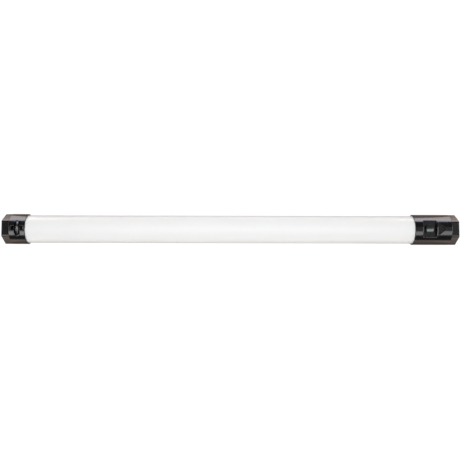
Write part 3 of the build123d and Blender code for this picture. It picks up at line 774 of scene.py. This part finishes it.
def softbox(name, location, target, size, radiance, colour=WHITE):
    """Rectangular area light of a given radiance aimed at a point."""
    data = bpy.data.lights.new(name, "AREA")
    data.shape = "RECTANGLE"
    data.size, data.size_y = size
    data.energy = radiance * math.pi * size[0] * size[1]
    data.color = linear(colour)[:3]
    lamp = bpy.data.objects.new(name, data)
    lamp.location = location
    lamp.rotation_euler = (Vector(target) - Vector(location)).to_track_quat("-Z", "Y").to_euler()
    bpy.context.scene.collection.objects.link(lamp)
    return lamp


class LIGHTTUBE_OT_stage(bpy.types.Operator):
    """Set up the paper floor, the soft lights and the camera above the lamp"""

    bl_idname = "light_tube.stage"
    bl_label = "Stage"

    def execute(self, context):
        scene, studio = context.scene, context.scene.light_tube_studio
        self.floor(studio)
        self.lights(scene, studio)
        self.camera(scene, studio)
        return {"FINISHED"}

    def floor(self, studio):
        bm = bmesh.new()
        bmesh.ops.create_grid(bm, x_segments=1, y_segments=1, size=5.0)
        material, tree, shader = new_material(
            "paper_white", **{"Base Color": shade(studio.floor_colour, 0.08), "Roughness": 0.85}
        )
        along, across, _ = add_node(
            tree, "ShaderNodeSeparateXYZ",
            links={"Vector": add_node(tree, "ShaderNodeTexCoord").outputs["Object"]},
        ).outputs
        # In gloss, the paper is warm, with a painted shadow close by the lamp, where the lamp would
        # shade it, and painted light past the lamp's two ends, most of all behind them.
        glow, ends, ends_behind = studio.floor_glow, 0.8, 3.6
        shaded, clear = (0.03 ** 2, 0.11 ** 2), (0.347 ** 2, 0.358 ** 2)
        lit = spread(tree, across, glow, glow + studio.floor_rise, (-0.10, 0.10))
        # painted shadow on the paper close by the lamp, seen only in gloss
        painted_shadow_near_lamp = spread(tree, multiplied(tree, across, across), 0.06, 0.90, shaded)
        past = spread(tree, multiplied(tree, along, along), 0.0, 1.0, clear)
        behind = spread(tree, across, ends, ends_behind, (-0.02, 0.02))
        added = multiplied(tree, past, behind)
        # painted light on the paper past the lamp's ends, seen only in gloss
        painted_light_past_ends = spread(tree, added, 1.0, 1.0 + ends_behind, (0.0, ends_behind))
        mirrored = multiplied(tree, multiplied(tree, lit, painted_shadow_near_lamp), painted_light_past_ends)
        gloss = add_node(tree, "ShaderNodeLightPath").outputs["Is Glossy Ray"]
        strength = add_node(tree, "ShaderNodeMix", values={2: 1.0}, links={0: gloss, 3: mirrored})
        tree.links.new(strength.outputs[0], shader.inputs["Emission Strength"])
        colour = add_node(
            tree, "ShaderNodeMix", data_type="RGBA",
            values={6: linear("#F8F8F8"), 7: studio.floor_colour}, links={0: gloss},
        )
        tree.links.new(colour.outputs[2], shader.inputs["Emission Color"])
        finished(bm, "floor", material)

    def lights(self, scene, studio):
        world = bpy.data.worlds.new("room")
        world.use_nodes = True
        background = world.node_tree.nodes["Background"]
        background.inputs["Color"].default_value = linear("#F2F5FA")
        # The room is dim, so that the black caps stay dark, but its far wall looks pale.
        pale = 0.92
        seen = add_node(world.node_tree, "ShaderNodeLightPath").outputs["Is Camera Ray"]
        wall = spread(world.node_tree, seen, studio.room_light, pale, (0, 1))
        world.node_tree.links.new(wall, background.inputs["Strength"])
        scene.world = world
        # Flags keep the caps' lights off the opal tube, which has a wide, even wash of its own.
        tube, staple, button = "opal_diffuser", "rope_staple", "power_button"
        for name, location, target, size, radiance, tone, state, pieces in (
            ("tail_softbox", (-0.80, -1.12, 1.50), (-0.33, 0, 0), (1.3, 0.95),
             studio.tail_softbox, WHITE, "EXCLUDE", (tube, staple)),
            ("staple_softbox", (-0.80, 1.90, 1.00), (-0.32, 0, 0), (1.2, 1.00),
             studio.staple_softbox, WHITE, "INCLUDE", (staple,)),
            ("control_softbox", (0.80, -0.87, 1.50), (0.33, 0, 0), (1.3, 0.80),
             studio.control_softbox, WHITE, "EXCLUDE", (tube,)),
            ("button_softbox", (0.80, -0.36, 1.50), (0.30, 0, 0), (1.0, 0.60),
             studio.button_softbox, GREEN_WHITE, "INCLUDE", (button,)),
            ("far_panel", (0, 1.5, 0.39), (0, 0, 0.39), (3.4, 0.80),
             studio.far_panel, COOL_WHITE, "EXCLUDE", (tube, button)),
            ("tail_side_fill", (-2.0, 0, 1.6), (0, 0, 0), (1.2, 1.2),
             studio.side_fill, WHITE, "EXCLUDE", (tube,)),
            ("control_side_fill", (2.0, 0, 1.6), (0, 0, 0), (1.2, 1.2),
             studio.side_fill, WHITE, "EXCLUDE", (tube,)),
            ("wash_above", (0, 0, 2.0), (0, 0, 0), (3.0, 1.5),
             studio.tube_wash, WHITE, "INCLUDE", (tube,)),
            ("wash_near", (0, -1.3, 0.55), (0, 0, 0), (3.0, 0.8),
             studio.tube_wash * 0.27, WHITE, "INCLUDE", (tube,)),
            ("wash_behind", (0, 1.3, 0.55), (0, 0, 0), (3.0, 0.8),
             studio.tube_wash * 0.21, WHITE, "INCLUDE", (tube,)),
        ):
            lamp = softbox(name, location, target, size, radiance, tone)
            lamp.visible_glossy = not name.startswith("wash")
            lamp.light_linking.receiver_collection = self.pieces_lit(name, state, *pieces)
        softbox("top_fill", (1.0, 0.1, 2.2), (0.5, 0, 0), (1.2, 1.0), studio.top_fill)

    def pieces_lit(self, name, state, *pieces):
        """The pieces that a lamp lights, INCLUDE, or leaves dark, EXCLUDE."""
        listed = bpy.data.collections.new(name)
        for piece in pieces:
            listed.objects.link(bpy.data.objects[piece])
        for entry in listed.collection_objects:
            entry.light_linking.link_state = state
        return listed

    def camera(self, scene, studio):
        data = bpy.data.cameras.new("camera")
        data.lens = studio.camera_lens
        data.sensor_width = 36.0
        data.clip_start = 0.01
        camera = bpy.data.objects.new("camera", data)
        target = Vector((-1.2 * MM, -0.77 * MM, AXIS_Z))
        elevation = studio.camera_elevation
        away = Vector((0, -math.cos(elevation), math.sin(elevation)))
        camera.location = target + away * studio.camera_distance
        turn = (-away).to_track_quat("-Z", "Y") @ Quaternion((0, 0, 1), studio.camera_roll)
        camera.rotation_euler = turn.to_euler()
        scene.collection.objects.link(camera)
        scene.camera = camera
        scene.view_settings.view_transform = "Standard"


class LIGHTTUBE_PT_panel(bpy.types.Panel):
    """Lists the lamp's pieces in the sidebar"""

    bl_idname = "LIGHTTUBE_PT_panel"
    bl_label = "Light Tube"
    bl_space_type = "VIEW_3D"
    bl_region_type = "UI"
    bl_category = "Light Tube"

    def draw(self, context):
        for operator in PIECES:
            self.layout.operator(operator.bl_idname)


PIECES = (
    LIGHTTUBE_OT_diffuser,
    LIGHTTUBE_OT_caps,
    LIGHTTUBE_OT_button,
    LIGHTTUBE_OT_staple,
    LIGHTTUBE_OT_stand_socket,
    LIGHTTUBE_OT_inlet_cover,
    LIGHTTUBE_OT_fasteners,
    LIGHTTUBE_OT_inside,
    LIGHTTUBE_OT_stage,
)
SETTINGS = {
    "light_tube_sizes": LightTubeSizes,
    "light_tube_finishes": LightTubeFinishes,
    "light_tube_studio": LightTubeStudio,
}


def register():
    for group in (*SETTINGS.values(), *PIECES, LIGHTTUBE_PT_panel):
        bpy.utils.register_class(group)
    for name, group in SETTINGS.items():
        setattr(bpy.types.Scene, name, PointerProperty(type=group))


def unregister():
    for name in SETTINGS:
        delattr(bpy.types.Scene, name)
    for group in (LIGHTTUBE_PT_panel, *reversed(PIECES), *reversed(SETTINGS.values())):
        bpy.utils.unregister_class(group)


def main():
    register()
    for operator in PIECES:
        getattr(bpy.ops.light_tube, operator.bl_idname.split(".")[1])()


if __name__ == "__main__":
    main()
